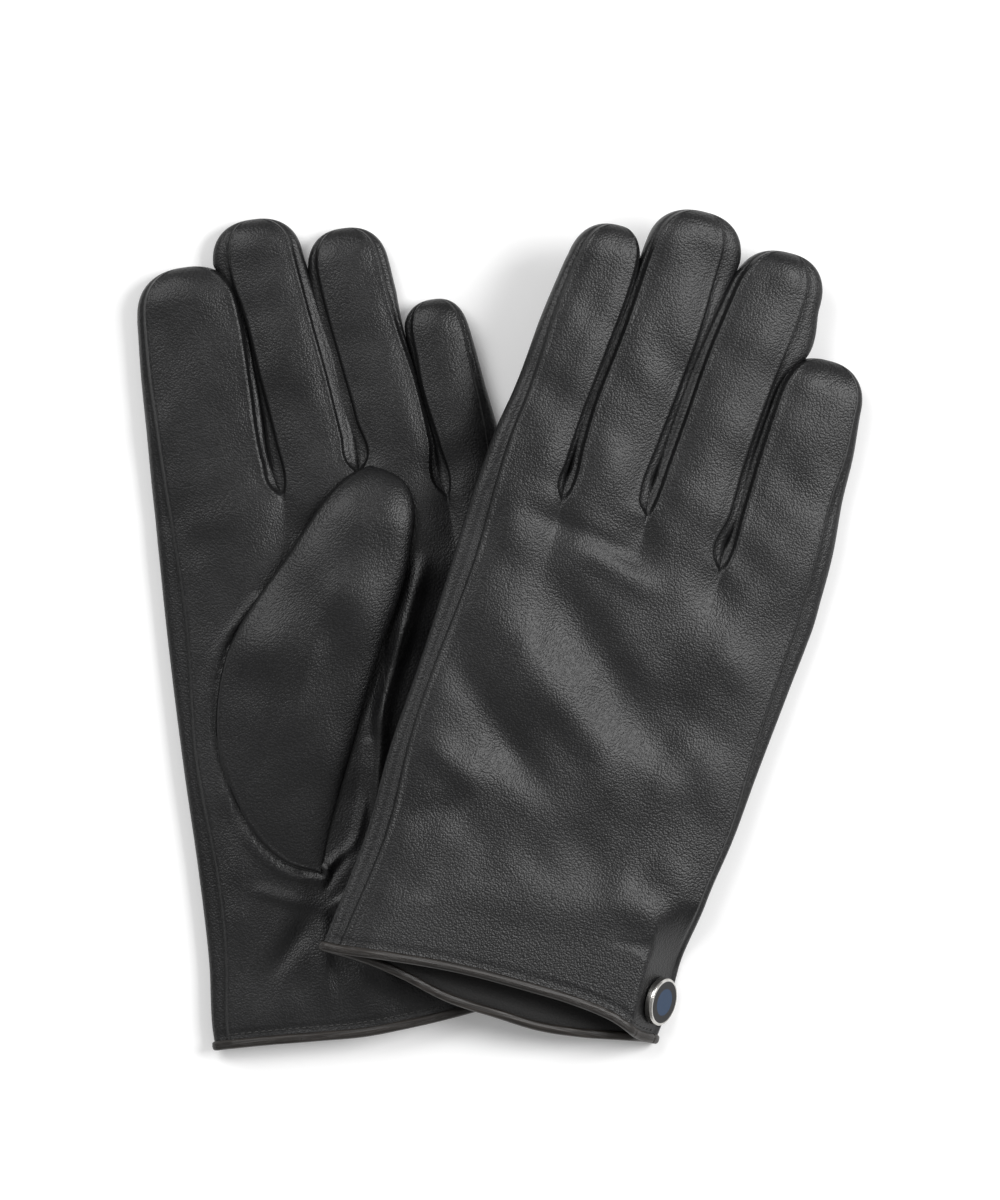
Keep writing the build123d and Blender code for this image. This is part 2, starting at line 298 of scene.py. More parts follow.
# Soft folds: start, end, width, height, on the face that is up
FOLDS = {
    "left": [
        ((34, 136), (24, 114), 2.6, 2.6), ((25, 116), (15, 93), 2.4, 2.8), ((16, 95), (10, 66), 2.2, 2.4),
        ((44, 136), (33, 112), 3.4, -0.9), ((34, 112), (24, 88), 3.2, -1.0), ((24, 90), (18, 62), 3.0, -0.9),
        ((-13, 44), (-20, 60), 1.6, -0.8), ((-9, 44), (-1, 54), 1.3, -0.9), ((-15, 39), (-30, 46), 1.6, 0.8),
        ((-8, 38), (4, 42), 1.2, 0.9), ((-8, 34), (8, 30), 1.7, -0.9), ((-12, 33), (-14, 14), 2.6, 0.9),
        ((-4, 33), (6, 14), 2.6, 0.9), ((-16, 34), (-30, 20), 2.8, -0.7), ((-34, 60), (-40, 30), 3.2, 0.8),
        ((8, 48), (22, 30), 3.0, 1.0), ((14, 54), (30, 40), 3.0, -0.8),
    ],
    "right": [
        ((-36, 116), (12, 76), 9.0, 1.7), ((-20, 126), (24, 88), 8.0, -1.3), ((-44, 96), (-8, 66), 6.0, -1.2),
        ((-46, 70), (-26, 62), 5.0, 1.0), ((-12, 140), (12, 132), 5.0, 0.9),
        ((-26, 146), (6, 140), 3.5, -0.8), ((28, 128), (44, 112), 9.0, 1.0),
        ((14, 34), (46, 34), 6.0, 0.9), ((26, 24), (48, 27), 4.0, -0.9),
        ((-50, 44), (-30, 54), 5.0, -0.7), ((-24, 30), (20, 20), 9.0, 0.6),
    ],
}


def dome(across, power, roundness):
    """1 in the middle of a face, falling to 0 at its two seams."""
    return np.clip(1 - np.abs(across) ** power, 0, 1) ** roundness


def crease(distance):
    """The stitched-in groove of a seam, with the leather swelling just beside it."""
    return 0.42 * np.exp(-(((distance - 1.1) / 0.55) ** 2)) - 1.0 * np.exp(-((distance / 0.45) ** 2))


def cap(y, top, height, power):
    """Shrinks a finger towards its round end."""
    return np.clip(1 - np.clip((y - top + height) / height, 0, 1) ** power, 0, 1) ** (1 / power)


def swell(side, name, end, y):
    """How far the side strip at one end of a face swells past its seam."""
    stations = SWELLS[side][name][end]
    if stations is None:
        stations = (THUMB_WRAP, LITTLE_WRAP)[end]
    return through(stations, y)


def start_heights(side):
    """Where each finger's net starts at its left and right edge."""
    crotches = [height for _, height in CROTCHES[side]]
    heights = [crotches[0] - EDGE_DROP] + crotches + [crotches[-1] - EDGE_DROP]
    return list(zip(heights[:-1], heights[1:]))


FACE_COLUMNS = 28
HAND_ROWS = 156
FINGER_ROWS = 66
TIP_ROWS = 26
STRIP_COLUMNS = 11
HEM_PLACES = 260


def finger_plan(side, name):
    """Plan of one finger's face: rows up from the crotch to the tip, columns across.

    Also how far each place is drawn in at the round tip, and how far it thins there.
    """
    left_start, right_start = start_heights(side)[FINGERS.index(name)]
    left, right, (tip_x, tip_y, tip_high) = FACES[side][name]
    u = seam_columns(SEAM_SPAN, FACE_COLUMNS)
    start = left_start + (right_start - left_start) * u
    last = 1 - 0.16 * (1 - np.sin(np.linspace(0, math.pi / 2, TIP_ROWS)[1:]))
    t = np.concatenate((np.linspace(0, 0.84, FINGER_ROWS), last))
    y = start[None, :] + t[:, None] * (tip_y - start[None, :])
    low, high = through(left, y), through(right, y)
    shrink = cap(y, tip_y, tip_high * 0.74, 2.4)
    x = tip_x + (low + (high - low) * u[None, :] - tip_x) * shrink
    return u, x, y, shrink, cap(y, tip_y, 11.0, 2.2)


def hand_plan(side, face, top_x, top_y):
    """Plan of the hand below one finger, from the hem up to the crotch row."""
    def edges(y):
        return (through(THUMB_EDGE[side], y) + through(THUMB_WRAP, y),
                through(LITTLE_EDGE[side], y) - through(LITTLE_WRAP, y))
    low, high = edges(top_y)
    share = (top_x - low) / (high - low)
    low, high = edges(np.zeros_like(top_y))
    hem = through(HEM[side][face], low + (high - low) * share)
    s = np.linspace(0, 1, HAND_ROWS)[:, None]
    y = hem[None, :] + s * (top_y - hem)[None, :]
    low, high = edges(y)
    blend = ease(0.9, 1.0, s)
    x = low + (high - low) * share[None, :]
    return x + (top_x[None, :] - x) * blend, y, share


def relief(side, x, y):
    """Folds, gathers and soft unevenness of the face that is up."""
    total = ripples(11 if side == "left" else 12, x, y, 9, 46, 0.42)
    for start, end, width, height in FOLDS[side]:
        total = total + ridge(x, y, start, end, width, height)
    return total + thumb_surround(x, y) if side == "left" else total


def face_net(side, face, name):
    """Points of one face, hand rows then finger rows, and how far each is drawn in at the round tip."""
    index = FINGERS.index(name)
    u, fx, fy, shrink, tip = finger_plan(side, name)
    hx, hy, share = hand_plan(side, face, fx[0], fy[0])
    x, y = np.vstack((hx[:-1], fx)), np.vstack((hy[:-1], fy))
    above = y - fy[0][None, :]
    across, over = 2 * u[None, :] - 1, 2 * share[None, :] - 1
    mix = ease(-30, 8, above)
    hand = 0.62 + 0.38 * dome(over, 5.0, 0.6)
    finger = 0.66 + 0.34 * dome(across, 2.4, 1.7 - 1.1 * ease(-14, 4, above))
    half = HALF_HAND + FINGER_PLUMP * ease(-60, 25, above)
    profile = hand * (1 - mix) + finger * mix
    up_face = (face == "palm") == (side == "left")
    inner = ease(-1.5, 3, above)
    thumb_side = 1.0 if up_face else 0.15
    little_side = 1.0 if side == "right" else 0.3
    left_seam = inner if index else thumb_side
    right_seam = little_side if index == len(FINGERS) - 1 else inner
    left_away, right_away = u[None, :] * SEAM_SPAN, (1 - u[None, :]) * SEAM_SPAN
    groove = left_seam * crease(left_away) + right_seam * crease(right_away)
    fade = np.vstack((np.ones_like(hx[:-1]), tip))
    height = half * profile * fade + groove * np.minimum(fade * 2, 1)
    if up_face:
        inland = np.clip(dome(over, 6, 0.5) + mix, 0, 1)
        height = height + relief(side, x, y) * np.minimum(fade * 1.5, 1) * inland
    else:
        height = np.minimum(height, HALF_HAND)
    mouth = 1 - ease(0, 36, y)
    if face == "back":
        height = height + GAPE[side] * mouth * dome(over, 2.2, 1.0)
    z = MIDDLE + height if face == "back" else MIDDLE - height
    slope = THICKNESS + 0.25 - np.clip(x - FLAP_ACROSS + 1.2, 0, 30)
    near = 1 - ease(FLAP_WIDE, FLAP_WIDE + 22, y)
    corner = slope if face == "back" else np.maximum(slope - UNDERLAP_DROP, LOWEST_CORNER)
    z = z + (np.minimum(z, corner) - z) * near
    channel = STITCH_CHANNEL * np.exp(-(((y - hy[0][None, :] - STITCH_UP) / 0.45) ** 2))
    z = z - channel if face == "back" else z + channel
    shrinks = np.vstack((np.ones_like(hx[:-1]), shrink))
    return np.stack((x, y, z), -1), shrinks


def strip_net(side, name, end, back, palm, shrink):
    """The side strip that swells between the back's and the palm's edge."""
    column = -1 if end else 0
    b, p, s = back[:, column], palm[:, column], shrink[:, column]
    turn = np.linspace(math.pi / 2, -math.pi / 2, STRIP_COLUMNS)[None, :, None]
    middle, half = (b + p)[:, None] / 2, (b - p)[:, None] / 2
    points = middle + half * np.sin(turn)
    y = middle[:, 0, 1]
    out = swell(side, name, end, y)
    if (name, end) not in (("index", 0), ("little", 1)):
        crotch = CROTCHES[side][FINGERS.index(name) + end - 1][1]
        out = out + CROTCH_FILL * np.exp(-(((y - crotch - 4.5) / 4.5) ** 2))
    out = out * s * (1 if end else -1)
    points[..., 0] += out[:, None] * np.cos(turn[..., 0]) ** 0.9
    return points


def glove_nets(side):
    """Every net of one glove: (sub-part, points, whether its front is turned over)."""
    nets = []
    for name in FINGERS:
        back, shrink = face_net(side, "back", name)
        palm, _ = face_net(side, "palm", name)
        first = HAND_ROWS - 1
        nets.append(("back_panel", back[: first + 1], False))
        nets.append(("palm_panel", palm[: first + 1], True))
        nets.append((f"{name}_back", back[first:], False))
        nets.append((f"{name}_palm", palm[first:], True))
        for end in (0, 1):
            strip = strip_net(side, name, end, back, palm, shrink)
            nets.append((f"{name}_fourchette", strip[first:], not end))
            if (name, end) in (("index", 0), ("little", 1)):
                nets.append(("back_panel", strip[: first + 1], not end))
    return nets


def quads_of(net, flipped):
    """Corner numbers of a net's faces."""
    rows, columns = net.shape[:2]
    number = np.arange(rows * columns).reshape(rows, columns)
    around = [number[:-1, :-1], number[:-1, 1:], number[1:, 1:], number[1:, :-1]]
    if flipped:
        around.reverse()
    return np.stack(around, -1).reshape(-1, 4)


def grain_map(net):
    """Where each point lies on the flat skin, in metres, so that the grain keeps its size."""
    steps = np.linalg.norm(np.diff(net, axis=1), axis=-1)
    across = np.concatenate((np.zeros((len(net), 1)), np.cumsum(steps, 1)), 1)
    across = across - across.mean(1, keepdims=True) + net[..., 0].mean()
    return np.stack((across, net[..., 1]), -1) * MM


def smooth_normals(points, faces):
    """One normal a point, weighed by the area of the faces round it."""
    corner = points[faces]
    face_normal = np.cross(corner[:, 2] - corner[:, 0], corner[:, 3] - corner[:, 1])
    total = np.zeros_like(points)
    for i in range(4):
        np.add.at(total, faces[:, i], face_normal)
    return total / np.maximum(np.linalg.norm(total, axis=1, keepdims=True), 1e-12)


def new_piece(name, points, faces, uv, material, normals=None):
    """A smooth mesh object. uv has one place a point."""
    clean = []
    for face in faces:
        ring = list(dict.fromkeys(int(i) for i in face))
        if len(ring) > 2:
            clean.append(ring)
    mesh = bpy.data.meshes.new(name)
    mesh.from_pydata(points.tolist(), [], clean)
    layer = mesh.uv_layers.new(name="grain")
    corners = np.empty(len(mesh.loops), int)
    mesh.loops.foreach_get("vertex_index", corners)
    layer.data.foreach_set("uv", uv[corners].ravel())
    mesh.shade_smooth()
    if normals is not None:
        mesh.normals_split_custom_set_from_vertices(normals.tolist())
    mesh.materials.append(material)
    piece = bpy.data.objects.new(name, mesh)
    bpy.context.scene.collection.objects.link(piece)
    return piece


def owners(part, middles, inner):
    """The sub-part that each face of a net belongs to."""
    if inner:
        if not part.endswith("panel"):
            return [part.split("_")[0] + "_lining"] * len(middles)
        return ["cuff_facing" if y < FACING_TOP else "hand_lining" for y in middles[:, 1]]
    if part == "back_panel":
        on_flap = (middles[:, 0] > FLAP_ACROSS) & (middles[:, 1] < FLAP_WIDE)
        return ["snap_flap" if on else part for on in on_flap]
    return [part] * len(middles)


def sewn_pieces(side, nets, materials, inset=0.0):
    """Welds the nets of one glove, works out its normals, and cuts it into named sub-parts."""
    all_points, all_uv, all_faces, owner, first = [], [], [], [], 0
    for part, net, flipped in nets:
        faces = quads_of(net, (flipped != (side == "left")) != bool(inset))
        middles = net.reshape(-1, 3)[faces].mean(1)
        all_faces.append(faces + first)
        owner += owners(part, middles, bool(inset))
        all_points.append(net.reshape(-1, 3))
        all_uv.append(grain_map(net).reshape(-1, 2))
        first += net.shape[0] * net.shape[1]
    points, uv, faces = np.concatenate(all_points), np.concatenate(all_uv), np.concatenate(all_faces)
    owner = np.array(owner)
    _, keep, same = np.unique(np.round(points, 3), axis=0, return_index=True, return_inverse=True)
    same = same.ravel()
    flat = placed(side, points[keep])
    welded = same[faces]
    normals = smooth_normals(flat, welded)
    if inset:
        flat = flat + normals * inset * MM
    made = {}
    for part in dict.fromkeys(owner.tolist()):
        chosen = faces[owner == part]
        used, local = np.unique(chosen, return_inverse=True)
        spots = same[used]
        _, one, back = np.unique(spots, return_index=True, return_inverse=True)
        corner = back.ravel()[local.reshape(chosen.shape)]
        finish = materials[part_slot(part)]
        first_spots = spots[one]
        made[part] = new_piece(
            f"{side}_{part}_sewn", flat[first_spots], corner, uv[used[one]], finish, normals[first_spots]
        )
    return made


def part_slot(part):
    """The record's material slot of a sewn sub-part."""
    if part.endswith("lining"):
        return "knit_lining"
    return "facing_leather" if part == "cuff_facing" else "glove_leather"


def tube(path, radii):
    """A net round a path: rows along it, columns round an oval section that stands along the glove."""
    along = np.vstack((path[1:], path[-1:])) - np.vstack((path[:1], path[:-1]))
    up = np.array([0.0, 1.0, 0.0])
    out = np.cross(along, up)
    out /= np.maximum(np.linalg.norm(out, axis=1, keepdims=True), 1e-9)
    turn = np.linspace(0, 2 * math.pi, 17)
    wide = np.sign(np.cos(turn)) * np.abs(np.cos(turn)) ** 0.75 * radii[0]
    tall = np.sign(np.sin(turn)) * np.abs(np.sin(turn)) ** 0.75 * radii[1]
    return path[:, None] + out[:, None] * wide[None, :, None] + up * tall[None, :, None]


def net_piece(name, side, net, material, flipped=False):
    """One net as an object of its own."""
    points = placed(side, net)
    faces = quads_of(net, flipped != (side == "left"))
    flat = points.reshape(-1, 3)
    _, keep, same = np.unique(np.round(net.reshape(-1, 3), 4), axis=0, return_index=True, return_inverse=True)
    same = same.ravel()
    return new_piece(name, flat[keep], same[faces], grain_map(net).reshape(-1, 2)[keep], material)


def hem_loop(nets):
    """The hem all the way round: back, little-finger side, palm, thumb side."""
    backs = [n for part, n, _ in nets if part == "back_panel" and n.shape[1] == FACE_COLUMNS]
    palms = [n for part, n, _ in nets if part == "palm_panel"]
    strips = [n for part, n, _ in nets if part == "back_panel" and n.shape[1] == STRIP_COLUMNS]
    back = np.vstack([n[0, :-1] for n in backs])
    palm = np.vstack([n[0, :-1] for n in palms])
    loop = np.vstack((back, strips[1][0], palm[::-1], strips[0][0][::-1][1:]))
    steps = np.linalg.norm(np.diff(np.vstack((loop, loop[:1])), axis=0), axis=1)
    loop = loop[steps > 1e-6]
    wrapped = np.vstack((loop, loop[:1]))
    lengths = np.concatenate(([0], np.cumsum(np.linalg.norm(np.diff(wrapped, axis=0), axis=1))))
    even = np.linspace(0, lengths[-1], HEM_PLACES)
    spaced = np.stack([np.interp(even[:-1], lengths, wrapped[:, i]) for i in range(3)], -1)
    softened = sum(np.roll(spaced, k, 0) for k in (-2, -1, 0, 1, 2)) / 5
    return np.vstack((softened, softened[:1]))


def bind_hem(side, nets, materials):
    """The rolled strip over the hem, cut where the snap flap opens."""
    loop = hem_loop(nets)
    loop[:, 1] += BINDING / 2 - 0.2
    loop[:, 2] -= 0.5 * np.clip((loop[:, 2] - MIDDLE) / 2, -1, 1)
    on_flap = (loop[:, 0] > FLAP_ACROSS) & (loop[:, 2] > MIDDLE - 3.5)
    first, last = np.flatnonzero(on_flap)[[0, -1]]
    for name, run, body in (
        ("cuff_binding", np.vstack((loop[last:-1], loop[: first + 1])), "hand"),
        ("snap_flap_binding", loop[first : last + 1], "flap"),
    ):
        net = tube(run, (BINDING_HALF, BINDING / 2))
        ends = [np.repeat(net[i].mean(0)[None], net.shape[1], 0)[None] for i in (0, -1)]
        net = np.concatenate((ends[0], net, ends[1]))
        piece = net_piece(f"{side}_{name}_rolled", side, net, materials["binding_leather"], True)
        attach(piece, f"{side}_{body}")
        if body == "hand":
            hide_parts(f"{side}_cuff_binding")


def stitch_row(side, nets, materials):
    """Slanted stitches just above the binding, on the face that is up."""
    part = "palm_panel" if side == "left" else "back_panel"
    rows = [n for p, n, _ in nets if p == part and n.shape[1] == FACE_COLUMNS]
    line = np.vstack([n[4] for n in rows])
    line = line[np.concatenate(([True], np.linalg.norm(np.diff(line, axis=0), axis=1) > 1e-6))]
    lengths = np.concatenate(([0], np.cumsum(np.linalg.norm(np.diff(line, axis=0), axis=1))))
    places = np.arange(2.0, lengths[-1] - 2, STITCH_PITCH)
    turn = np.linspace(0, 2 * math.pi, 9)
    lift = 1 if part == "back_panel" else -1
    groups = {"hand": [], "flap": []}
    for place in places:
        ends = [np.array([np.interp(place + d, lengths, line[:, i]) for i in range(3)])
                for d in (-STITCH_REACH, STITCH_REACH)]
        way = (ends[1] - ends[0]) / np.linalg.norm(ends[1] - ends[0])
        side_way = np.array([0.0, 1.0, 0.0])
        up = np.cross(way, side_way)
        rings = []
        for t, r in STITCH_SHAPE:
            leant = np.array([0, STITCH_LIFT * t, STITCH_LIFT * lift])
            centre = (ends[0] + ends[1]) / 2 + way * STITCH_HALF * t + leant
            rings.append(centre + np.outer(np.cos(turn), side_way) * r + np.outer(np.sin(turn), up) * r)
        on_flap = part == "back_panel" and ends[0][0] > FLAP_ACROSS
        groups["flap" if on_flap else "hand"].append(np.array(rings))
    for body, stitches in groups.items():
        if not stitches:
            continue
        points, faces, first = [], [], 0
        for net in stitches:
            points.append(net.reshape(-1, 3))
            faces.append(quads_of(net, side == "left") + first)
            first += net.shape[0] * net.shape[1]
        points = np.concatenate(points)
        piece = new_piece(f"{side}_{body}_stitches", placed(side, points), np.concatenate(faces),
                          points[:, :2] * MM, materials["thread"])
        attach(piece, f"{side}_{body}")


# The thumb's two edges from its root to its tip: (share of its length, across) and (share, up)
THUMB_LEFT = (
    [(0, -10.4), (0.12, -21.5), (0.28, -31.6), (0.45, -35.6), (0.58, -29.4), (0.8, -3.9), (1, 13)],
    [(0, 48.4), (0.12, 54), (0.28, 70), (0.45, 96), (0.58, 118), (0.8, 149), (1, 168)],
)
THUMB_RIGHT = (
    [(0, -9.6), (0.12, -6.8), (0.28, -0.6), (0.45, 8.2), (0.58, 15.2), (0.8, 29), (1, 38.6)],
    [(0, 49), (0.12, 58), (0.28, 72.5), (0.45, 91.5), (0.58, 107.5), (0.8, 135), (1, 163)],
)
THUMB_END = (23.6, 170.2)
THUMB_RISE = [(0, 0.5), (0.12, 1.0), (0.28, 2.6), (0.45, 4.8), (0.65, 7.2), (0.85, 8.0), (1, 7.6)]
THUMB_SIZE = {"left": (1.0, 1.0, 1.0), "right": (0.9, 0.8, 0.62)}  # across, up, height beside the left's
THUMB_ROOT = (-16.0, 60.0)  # the sizes above are taken from here
THUMB_BASE = 5.25  # from the middle of the hand to the thumb's lowest level
THUMB_ROWS = 78
THUMB_TIP_ROWS = 26
THUMB_COLUMNS = 36


def thumb_nets(side, inset):
    """The thumb lying on the palm: its outer face, and its under face."""
    last = 1 - 0.14 * (1 - np.sin(np.linspace(0, math.pi / 2, THUMB_TIP_ROWS)[1:]))
    t = np.concatenate((np.linspace(0, 0.86, THUMB_ROWS), last))
    v = np.sin(np.linspace(-1, 1, THUMB_COLUMNS) * math.pi / 2)
    ends = [np.stack((through(edge[0], t), through(edge[1], t)), -1) for edge in (THUMB_LEFT, THUMB_RIGHT)]
    end = cap(t, 1.0, 0.11, 2.5)[:, None]
    left, right = (np.array(THUMB_END) + (e - THUMB_END) * end for e in ends)
    middle, half = (left + right) / 2, (right - left) / 2
    wide = np.linalg.norm(half, axis=1, keepdims=True)
    half = half * np.maximum(wide - inset, 0.01) / np.maximum(wide, 0.01)
    plan = middle[:, None] + half[:, None] * v[None, :, None]
    rise = (through(THUMB_RISE, t) * cap(t, 1.0, 0.12, 2.2))[:, None]
    rooted = 1 - ease(0.42, 0.62, t)[:, None]
    edge = 0.42 - np.where(v < 0, 0.36, 0.12)[None, :] * rooted
    power = np.where(v < 0, 2.3 - 0.9 * rooted, 2.5)
    crown = np.clip(1 - np.abs(v)[None, :] ** power, 0, 1) ** 0.62
    scale_x, scale_y, scale_z = THUMB_SIZE[side]
    plan = np.array(THUMB_ROOT) + (plan - THUMB_ROOT) * (scale_x, scale_y)
    x, y = plan[..., 0], plan[..., 1]
    uneven = ripples(21, x, y, 10, 40, 0.5) * np.minimum(rise / 6, 1)
    uneven = uneven + ridge(x, y, (-14, 96), (6, 132), 3.4, 0.7)
    uneven = uneven + ridge(x, y, (-24, 84), (-12, 104), 3.0, -0.6)
    seam = crease((1 + v)[None, :] * np.maximum(wide, 1))
    top = rise * (edge + (1 - edge) * crown) + uneven * crown + 0.5 * seam * end
    under = rise * edge * np.abs(v)[None, :] ** 3
    outer = np.maximum(top * scale_z - inset, 0.02)
    inner = np.minimum(under * scale_z + inset, top * scale_z - inset * 0.5)
    shell = np.stack((x, y, MIDDLE - THUMB_BASE - outer), -1)
    underside = np.stack((x, y, MIDDLE - THUMB_BASE - inner), -1)
    underside[:, (0, -1)] = shell[:, (0, -1)]
    return shell, underside


def lay_thumb(side, materials):
    """The thumb's leather and its lining."""
    for node, finish, inset in (
        ("thumb_leather", "glove_leather", 0.0),
        ("thumb_lining", "knit_lining", LEATHER),
    ):
        shell, underside = thumb_nets(side, inset)
        both = np.concatenate((shell, underside[:, ::-1][:, 1:]), 1)
        piece = net_piece(f"{side}_{node}_sewn", side, both, materials[finish], True)
        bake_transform(piece)
        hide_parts(f"{side}_{node}")


# ---------------------------------------------------------------- finishes

def linear(colour):
    """An sRGB hex colour as the linear values that shaders take."""
    parts = [int(colour[i : i + 2], 16) / 255 for i in (1, 3, 5)]
    return tuple(c / 12.92 if c <= 0.04045 else ((c + 0.055) / 1.055) ** 2.4 for c in parts) + (1.0,)


def add(tree, kind, links=(), **settings):
    """Adds a node. A setting named after a socket sets it; links join outputs to its sockets."""
    node = tree.nodes.new(kind)
    for key, value in settings.items():
        if hasattr(node, key):
            setattr(node, key, value)
        else:
            node.inputs[key.replace("_", " ")].default_value = value
    for socket, output in dict(links).items():
        tree.links.new(output, node.inputs[socket])
    return node


def ramp(tree, factor, low, high, dark, light):
    """Turns a pattern into a colour between two hex colours."""
    node = add(tree, "ShaderNodeValToRGB", {"Fac": factor})
    for stop, place, colour in zip(node.color_ramp.elements, (low, high), (dark, light)):
        stop.position = place
        stop.color = linear(colour)
    return node.outputs["Color"]


def new_material(name, roughness, **constants):
    """A material with its shader, ready for patterns. Constants go on the shader's own sockets."""
    material = bpy.data.materials.new(name)
    material.use_nodes = True
    tree = material.node_tree
    tree.nodes.clear()
    shader = add(tree, "ShaderNodeBsdfPrincipled")
    shader.inputs["Roughness"].default_value = roughness
    for key, value in constants.items():
        shader.inputs[key.replace("_", " ")].default_value = value
    add(tree, "ShaderNodeOutputMaterial", {"Surface": shader.outputs[0]})
    return material, tree, shader


def leather(name, dark, light, roughness, pebble_mm, depth_mm):
    """Nappa sheepskin, drum dyed and lightly finished: a soft satin black, a fine pebble grain with darker
    pores, and long faint wrinkles. It greys a little where it has been handled."""
    material, tree, shader = new_material(name, roughness, IOR=1.45)
    place = add(tree, "ShaderNodeTexCoord").outputs["UV"]
    grains = 1 / (pebble_mm * MM)
    warp = add(tree, "ShaderNodeTexNoise", {"Vector": place}, Scale=grains * 0.35, Detail=2.0)
    shift = add(tree, "ShaderNodeVectorMath", {0: warp.outputs["Color"]}, operation="SCALE")
    shift.inputs["Scale"].default_value = pebble_mm * MM * 0.9
    moved = add(tree, "ShaderNodeVectorMath", {0: place, 1: shift.outputs[0]}, operation="ADD")
    pebble = add(
        tree, "ShaderNodeTexVoronoi", {"Vector": moved.outputs[0]}, feature="SMOOTH_F1", Scale=grains
    )
    pebble.inputs["Smoothness"].default_value = 0.35
    wrinkle = add(
        tree, "ShaderNodeTexNoise", {"Vector": place}, Scale=grains * 0.12, Detail=4.0, Roughness=0.6
    )
    worn = add(tree, "ShaderNodeTexNoise", {"Vector": place}, Scale=28.0, Detail=3.0)
    shade = ramp(tree, worn.outputs["Fac"], 0.35, 0.7, dark, light)
    pores = ramp(tree, pebble.outputs["Distance"], 0.25, 0.75, "#ffffff", "#8c8c8c")
    colour = add(tree, "ShaderNodeMix", {6: shade, 7: pores}, data_type="RGBA", blend_type="MULTIPLY")
    colour.inputs[0].default_value = 0.8
    tree.links.new(colour.outputs[2], shader.inputs["Base Color"])
    rough = add(
        tree, "ShaderNodeMapRange", {"Value": worn.outputs["Fac"]},
        To_Min=roughness - 0.06, To_Max=roughness + 0.07,
    )
    tree.links.new(rough.outputs[0], shader.inputs["Roughness"])
    coarse = add(
        tree, "ShaderNodeBump", {"Height": wrinkle.outputs["Fac"]},
        Strength=0.16, Distance=depth_mm * MM * 2.2,
    )
    fine = add(
        tree, "ShaderNodeBump", {"Height": pebble.outputs["Distance"], "Normal": coarse.outputs[0]},
        Strength=1.0, Distance=depth_mm * MM, invert=True,
    )
    tree.links.new(fine.outputs[0], shader.inputs["Normal"])
    return material


def knit():
    """Brushed jersey lining: matt dark grey loops, about one a millimetre, with a soft pile."""
    material, tree, shader = new_material("brushed_jersey", 0.95, Sheen_Weight=0.25)
    place = add(tree, "ShaderNodeTexCoord").outputs["UV"]
    loops = add(tree, "ShaderNodeTexWave", {"Vector": place}, Scale=1 / (1.1 * MM) / 6.28, Distortion=1.5,
                Detail=1.0, bands_direction="DIAGONAL")
    pile = add(tree, "ShaderNodeTexNoise", {"Vector": place}, Scale=1 / (0.6 * MM), Detail=3.0)
    shade = ramp(tree, pile.outputs["Fac"], 0.3, 0.7, "#1b1b1c", "#343435")
    tree.links.new(shade, shader.inputs["Base Color"])
    bump = add(tree, "ShaderNodeBump", {"Height": loops.outputs["Fac"]}, Strength=0.6, Distance=0.2 * MM)
    tree.links.new(bump.outputs[0], shader.inputs["Normal"])
    return material


def plain_finish(name, dark, light, roughness, grain_mm, depth_mm, **constants):
    """A hard or woven finish with faint fine unevenness, so that it never looks like flat paint."""
    material, tree, shader = new_material(name, roughness, **constants)
    place = add(tree, "ShaderNodeTexCoord").outputs["Object"]
    noise = add(tree, "ShaderNodeTexNoise", {"Vector": place}, Scale=1 / (grain_mm * MM), Detail=3.0)
    tree.links.new(ramp(tree, noise.outputs["Fac"], 0.3, 0.7, dark, light), shader.inputs["Base Color"])
    bump = add(tree, "ShaderNodeBump", {"Height": noise.outputs["Fac"]}, Strength=0.4, Distance=depth_mm * MM)
    tree.links.new(bump.outputs[0], shader.inputs["Normal"])
    return material


def enamel(side, centre):
    """Fired enamel: glossy black, with a plain dark-blue round in the middle, under a clear hard gloss."""
    material, tree, shader = new_material(f"enamel_{side}", 0.2, IOR=1.5, Specular_IOR_Level=0.22)
    place = add(tree, "ShaderNodeTexCoord").outputs["Object"]
    away = add(tree, "ShaderNodeVectorMath", {0: place}, operation="DISTANCE")
    away.inputs[1].default_value = centre
    centimetres = add(tree, "ShaderNodeMath", {0: away.outputs["Value"]}, operation="MULTIPLY")
    centimetres.inputs[1].default_value = 0.1 / MM
    ring = ramp(tree, centimetres.outputs[0], 0.40, 0.44, "#16324f", "#09090b")
    tree.links.new(ring, shader.inputs["Base Color"])
    haze = add(tree, "ShaderNodeTexNoise", {"Vector": place}, Scale=600.0, Detail=2.0)
    bump = add(tree, "ShaderNodeBump", {"Height": haze.outputs["Fac"]}, Strength=0.15, Distance=0.02 * MM)
    tree.links.new(bump.outputs[0], shader.inputs["Normal"])
    return material


def finishes():
    """Every material of the pair."""
    return {
        "glove_leather": leather("black_nappa", "#111112", "#1d1d1e", 0.41, 0.62, 0.11),
        # The facing's colours are darker than the outer leather's: partly its own tone, partly painted shade
        # for the inside of the mouth and for the underlap below the snap flap.
        "facing_leather": leather("facing_leather_with_painted_shade", "#0c0b0b", "#171615", 0.66, 0.6, 0.10),
        "binding_leather": leather("binding_nappa", "#221f1d", "#3a3531", 0.42, 0.7, 0.10),
        "knit_lining": knit(),
        "thread": plain_finish("polyester_thread", "#1b1b1b", "#3a3938", 0.5, 0.12, 0.05),
        "elastic": plain_finish("woven_elastic", "#1c1c1e", "#303032", 0.8, 0.4, 0.15),
        "nickel": plain_finish("polished_nickel", "#b4b2ae", "#d2d0cc", 0.22, 1.5, 0.02, Metallic=1.0),
    }


# ---------------------------------------------------------------- putting the pair together


def join_body(side, part, piece):
    """Puts a sewn sub-part of the hand or snap flap on its body, leaves a finger's sub-part where it lies,
    and lets it stand for the solid ones.
    """
    finger = part.split("_")[0]
    if finger in FINGERS:
        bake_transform(piece)
    else:
        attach(piece, f"{side}_flap" if part == "snap_flap" else f"{side}_hand")
    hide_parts(f"{side}_{part}")


